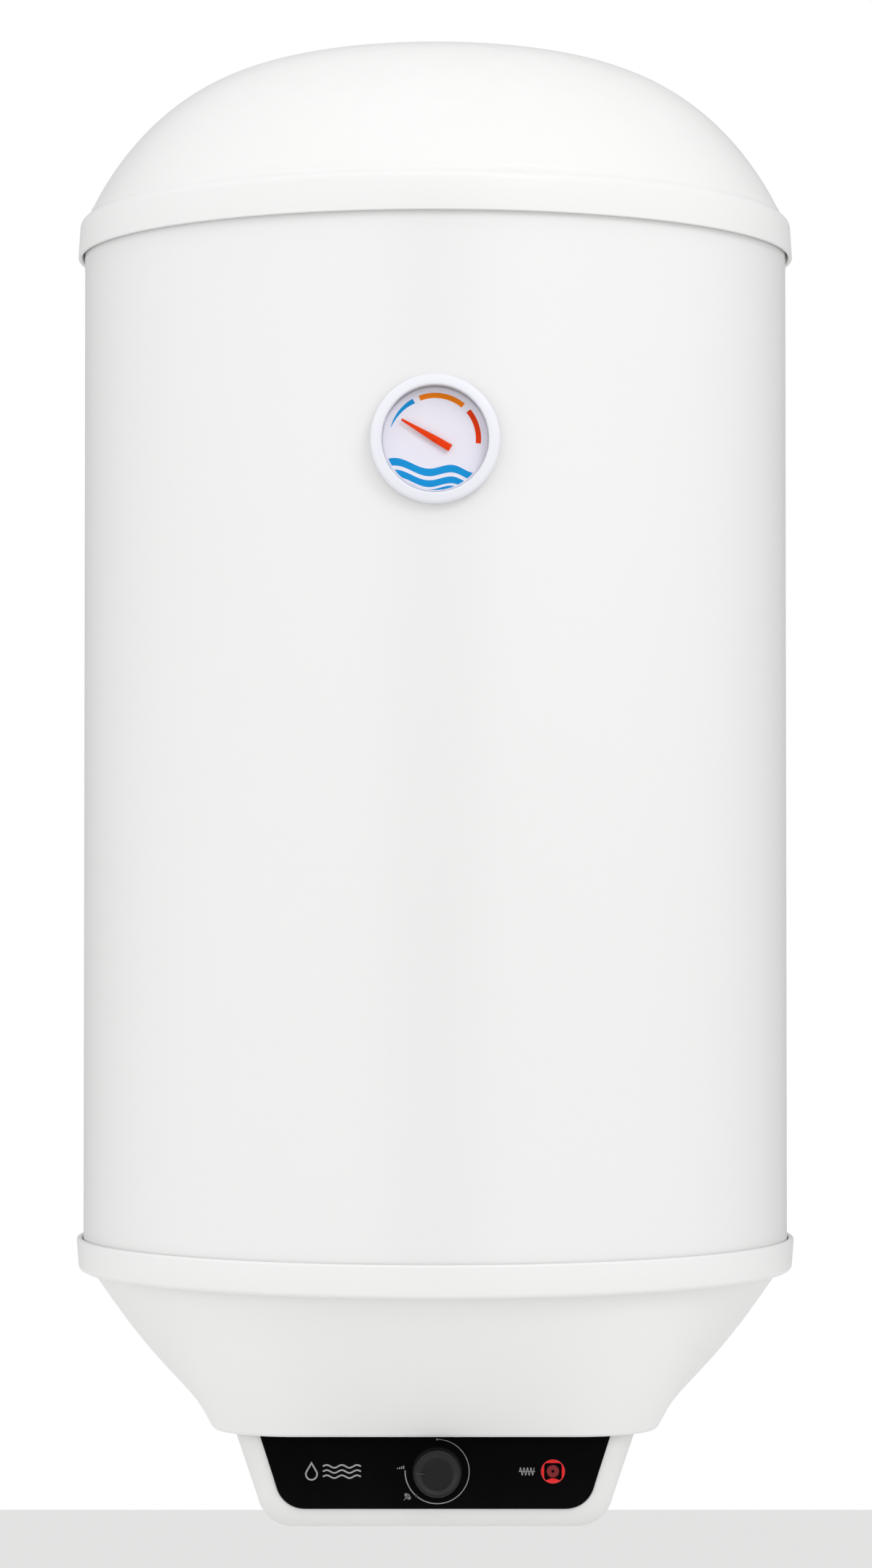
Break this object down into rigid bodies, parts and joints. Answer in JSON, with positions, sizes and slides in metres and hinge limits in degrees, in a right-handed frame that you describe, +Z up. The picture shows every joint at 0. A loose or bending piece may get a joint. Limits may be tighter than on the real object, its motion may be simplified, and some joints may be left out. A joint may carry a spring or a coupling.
{
  "type": "tank water heater",
  "caption": "Wall-hung electric storage water heater: round white jacket with domed top, dial thermometer, and a lower control box with thermostat knob and lamp.",
  "frame": {"origin": "midway between the two bolt holes of the wall bracket, on the wall plane", "axes": "+Y into the wall, +Z up, +X to the right as seen from the room; the front faces -Y"},
  "size_m": [0.4586, 0.4782, 0.9251],
  "materials": {
    "white_jacket": "smooth semi-gloss white enamel paint",
    "white_plastic": "smooth satin white moulded plastic",
    "grey_white_plastic": "fine-grained moulded plastic",
    "black_gloss": "polished piano black",
    "black_matte": "fine matte dark grey",
    "red_lens": "translucent red, polished",
    "lamp_red": "dim red",
    "clear_lens": "clear moulded lens",
    "dial_face": "printed dial, pale lavender",
    "pointer_orange": "orange-red paint",
    "zinc_steel": "zinc plated",
    "enamel": "dark blue glass enamel",
    "foam": "rigid polyurethane foam",
    "copper": "copper",
    "brass": "brass",
    "ivory_plastic": "ivory thermoset",
    "rubber_black": "moulded rubber",
    "magnesium": "cast magnesium",
    "red_plastic": "moulded red plastic",
    "blue_plastic": "moulded blue plastic",
    "wire_brown": "wire insulation",
    "wire_blue": "wire insulation",
    "wire_green": "wire insulation"
  },
  "bodies": {
    "heater": {"outer_jacket": "white_jacket", "top_cap": "white_plastic", "bottom_cap": "white_plastic", "pipe_plate": "white_plastic", "service_cover": "grey_white_plastic", "front_panel": "black_gloss", "thermostat_body": "ivory_plastic", "thermostat_plate": "zinc_steel", "thermostat_screws": "zinc_steel", "thermostat_capillary": "copper", "thermostat_bulb": "copper", "safety_cutout": "ivory_plastic", "cutout_capillary": "copper", "cutout_bulb": "copper", "lamp_window": "red_lens", "lamp_holder": "white_plastic", "indicator_lamp": "lamp_red", "terminal_block": "ivory_plastic", "terminal_screws": "brass", "cable_gland": "rubber_black", "gland_nut": "black_matte", "earth_stud": "zinc_steel", "live_wires": "wire_brown", "neutral_wires": "wire_blue", "earth_wire": "wire_green", "heating_element": "copper", "element_terminals": "zinc_steel", "flange_plate": "zinc_steel", "flange_gasket": "rubber_black", "tank_collar": "enamel", "flange_bolts": "zinc_steel", "anode_rod": "magnesium", "anode_nut": "zinc_steel", "sensor_pocket": "copper", "tank_shell": "enamel", "foam_insulation": "foam", "cold_pipe": "zinc_steel", "cold_diffuser": "white_plastic", "cold_collar": "blue_plastic", "hot_pipe": "zinc_steel", "hot_dip_tube": "white_plastic", "hot_collar": "red_plastic", "wall_bracket": "zinc_steel", "rear_buffers": "rubber_black", "gauge_bezel": "white_plastic", "gauge_glass": "clear_lens", "gauge_dial": "dial_face", "gauge_case": "white_plastic", "gauge_spiral": "brass", "gauge_bulb": "copper", "gauge_clip": "zinc_steel", "cover_screws": "zinc_steel", "cap_screws": "zinc_steel"},
    "knob": {"thermostat_knob": "black_matte", "thermostat_shaft": "zinc_steel"},
    "pointer": {"gauge_needle": "pointer_orange", "gauge_spindle": "brass"},
    "button": {"reset_button": "red_plastic"}
  },
  "joints": [
    {"name": "knob_turn", "type": "hinge", "parent": "heater", "child": "knob", "pos_m": [0.0012, -0.405, -0.6867], "axis": [0, -1, 0], "range_deg": [0, 270]},
    {"name": "pointer_turn", "type": "hinge", "parent": "heater", "child": "pointer", "pos_m": [0, -0.471, -0.0675], "axis": [0, -1, 0], "range_deg": [-156, 17.4], "stiffness_Nm_per_rad": 0.002},
    {"name": "button_press", "type": "slide", "parent": "heater", "child": "button", "axis": [0, 0, 1], "range_m": [0, 0.0015], "stiffness_N_per_m": 600}
  ]
}
